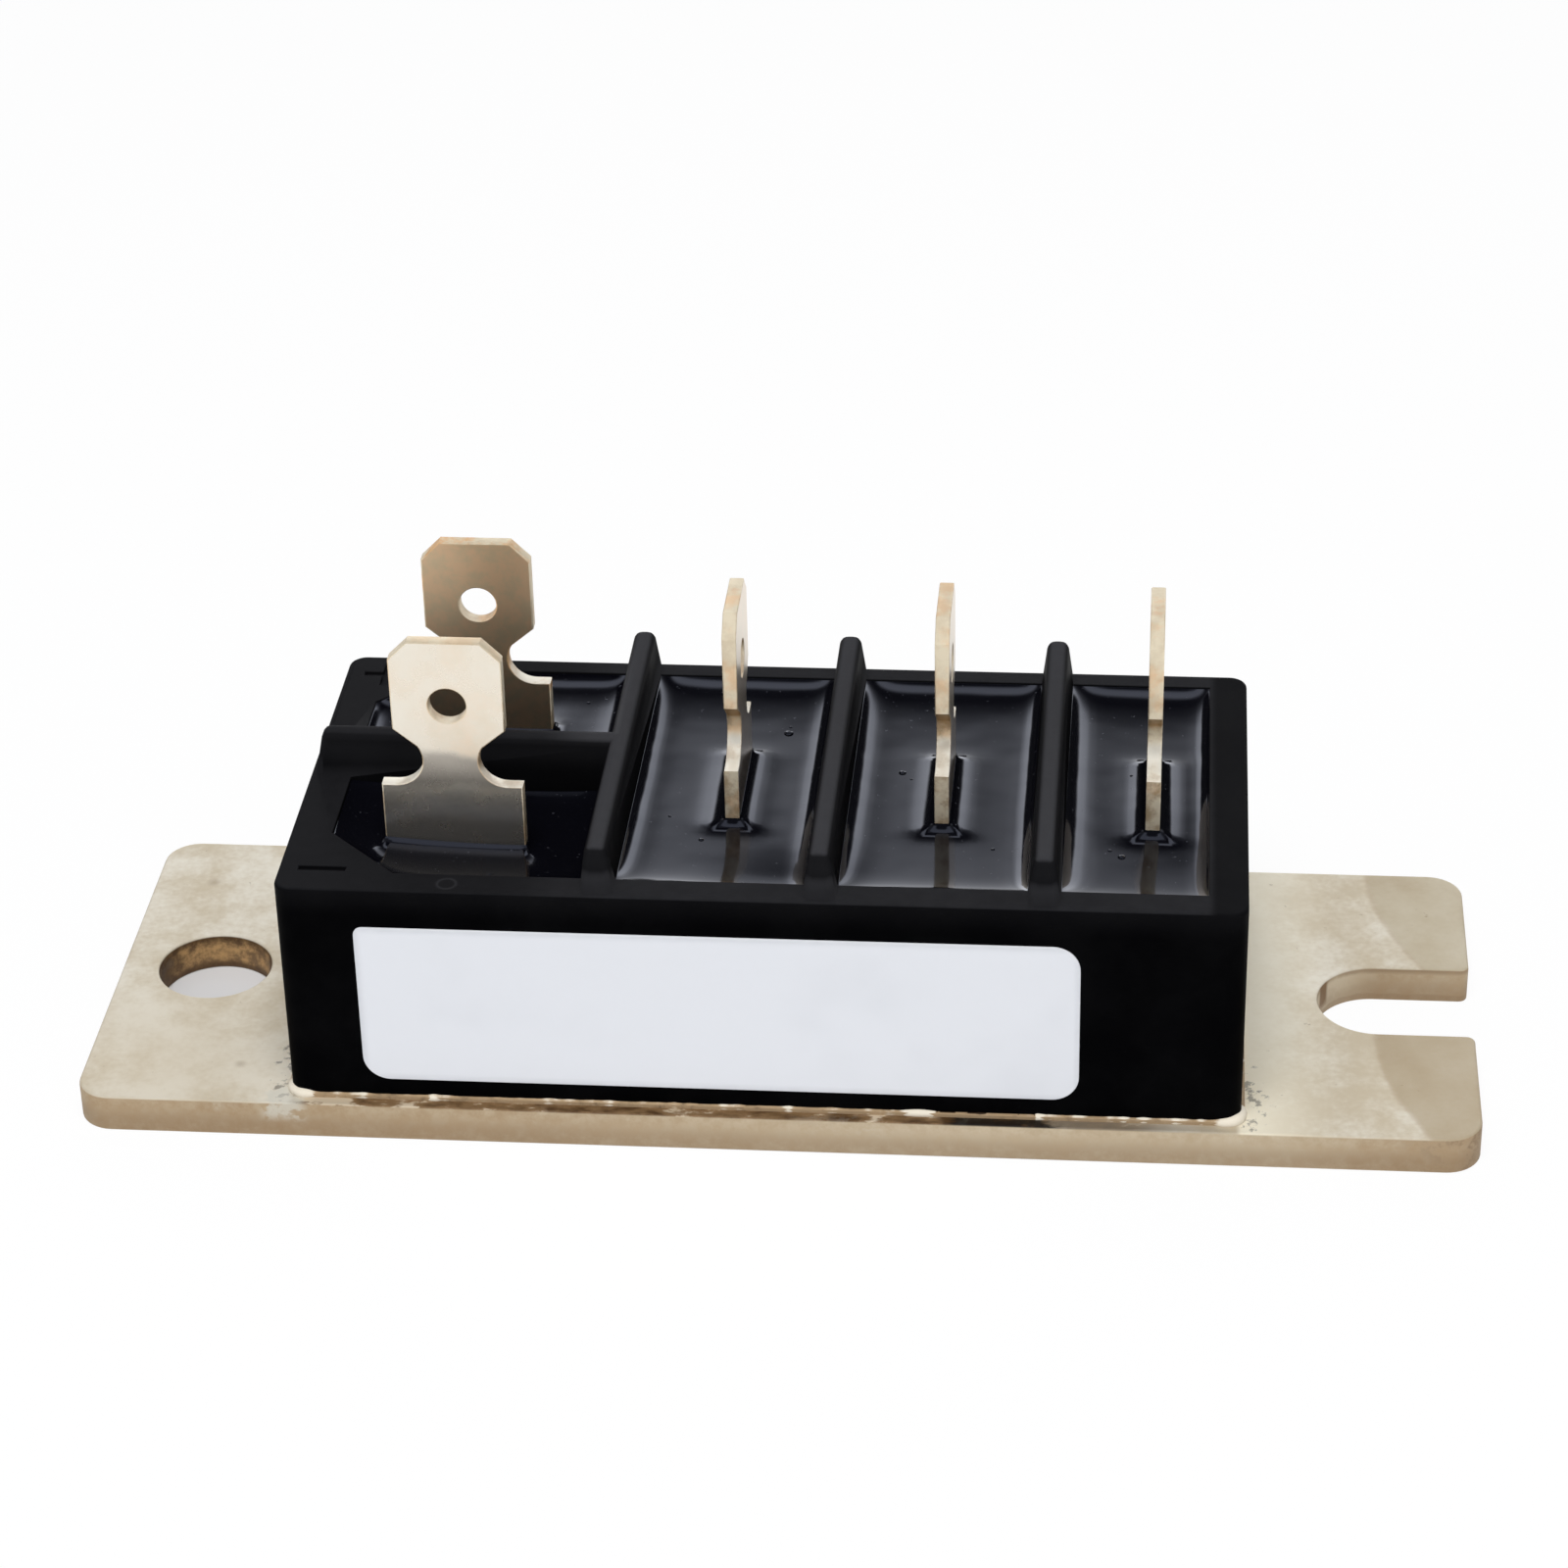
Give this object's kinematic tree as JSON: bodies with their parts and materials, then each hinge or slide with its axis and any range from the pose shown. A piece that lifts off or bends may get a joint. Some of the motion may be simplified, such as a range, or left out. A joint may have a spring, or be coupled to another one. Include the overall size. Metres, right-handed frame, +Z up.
{
  "type": "bridge rectifier module",
  "caption": "Three-phase bridge rectifier module: flat metal base plate with a hole and an open slot, black potted frame with ribs, and upright push-on tabs.",
  "frame": {"origin": "middle of the base plate's underside, which is the bottom of the whole part", "axes": "+X along the plate from the round hole to the open slot, +Y from the labelled front face to the rear, +Z up along the tabs"},
  "size_m": [0.078, 0.0272, 0.0275],
  "materials": {
    "plate_metal": "copper with a satin nickel plating, slightly stained",
    "black_moulding": "black moulded resin, satin",
    "black_potting": "black potting resin, glossy, drawn up at its edges",
    "tab_metal": "brass with a thin tin plating, lightly tarnished",
    "label_sheet": "bare pale label",
    "adhesive": "cured adhesive, pale",
    "clear_gel": "clear soft gel",
    "ceramic_sheet": "white alumina",
    "copper": "bare copper",
    "chip": "silicon chip"
  },
  "bodies": {
    "root": {"baseplate": "plate_metal", "housing": "black_moulding", "seal_bead": "adhesive", "label": "label_sheet", "epoxy_fill": "black_potting", "gel_fill": "clear_gel", "substrate_copper": "copper", "substrate_ceramic": "ceramic_sheet", "pad_plus": "copper", "pad_minus": "copper", "pad_ac_1": "copper", "pad_ac_2": "copper", "pad_ac_3": "copper", "diode_upper_1": "chip", "diode_upper_2": "chip", "diode_upper_3": "chip", "diode_lower_1": "chip", "diode_lower_2": "chip", "diode_lower_3": "chip", "jumper_upper_1": "copper", "jumper_upper_2": "copper", "jumper_upper_3": "copper", "jumper_lower_1": "copper", "jumper_lower_2": "copper", "jumper_lower_3": "copper", "terminal_plus": "tab_metal", "terminal_minus": "tab_metal", "terminal_ac_1": "tab_metal", "terminal_ac_2": "tab_metal", "terminal_ac_3": "tab_metal"}
  },
  "joints": []
}
